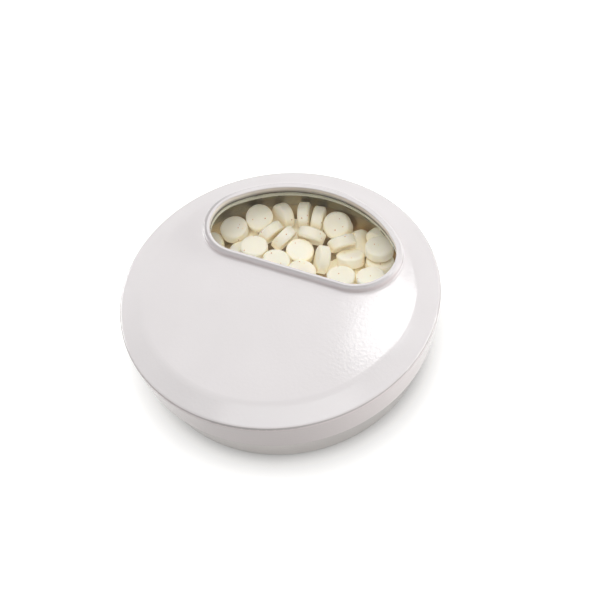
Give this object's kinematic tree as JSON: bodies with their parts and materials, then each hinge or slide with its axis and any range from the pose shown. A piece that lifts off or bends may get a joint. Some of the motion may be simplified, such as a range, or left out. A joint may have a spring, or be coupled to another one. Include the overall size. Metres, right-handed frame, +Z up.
{
  "type": "hinged mint tin",
  "caption": "Round hinged mint tin with a D-shaped clear window in its domed lid, a tapered drawn base and loose mints inside.",
  "frame": {"origin": "centre of the flat underside of the base, on the tin's own axis", "axes": "+Z up along the tin's axis, +Y towards the hinge and the window, +X to the right seen from the front"},
  "size_m": [0.0698, 0.0725, 0.0212],
  "materials": {
    "enamelled_tinplate": "gloss white lacquer",
    "base_tinplate": "satin white lacquer",
    "bare_tinplate": "plain tinplate",
    "steel_wire": "drawn wire",
    "clear_plastic": "clear",
    "pressed_mint": "matt powder"
  },
  "bodies": {
    "base": {"base_hinge_leaf": "bare_tinplate", "base_shell": "base_tinplate", "hinge_pin": "steel_wire", "mint_01": "pressed_mint", "mint_02": "pressed_mint", "mint_03": "pressed_mint", "mint_04": "pressed_mint", "mint_05": "pressed_mint", "mint_06": "pressed_mint", "mint_07": "pressed_mint", "mint_08": "pressed_mint", "mint_09": "pressed_mint", "mint_10": "pressed_mint", "mint_11": "pressed_mint", "mint_12": "pressed_mint", "mint_13": "pressed_mint", "mint_14": "pressed_mint", "mint_15": "pressed_mint", "mint_16": "pressed_mint", "mint_17": "pressed_mint", "mint_18": "pressed_mint", "mint_19": "pressed_mint", "mint_20": "pressed_mint", "mint_21": "pressed_mint", "mint_22": "pressed_mint", "mint_23": "pressed_mint", "mint_24": "pressed_mint", "mint_25": "pressed_mint", "mint_26": "pressed_mint", "mint_27": "pressed_mint", "mint_28": "pressed_mint", "mints_bottom": "pressed_mint", "mints_middle": "pressed_mint", "mints_top": "pressed_mint"},
    "lid": {"lid_shell": "enamelled_tinplate", "lid_hinge_leaf": "bare_tinplate", "window_pane": "clear_plastic", "window_retainer": "bare_tinplate"}
  },
  "joints": [
    {"name": "lid_hinge", "type": "hinge", "parent": "base", "child": "lid", "pos_m": [0, 0.0364, 0.0103], "axis": [-1, 0, 0], "range_deg": [0, 105]}
  ]
}
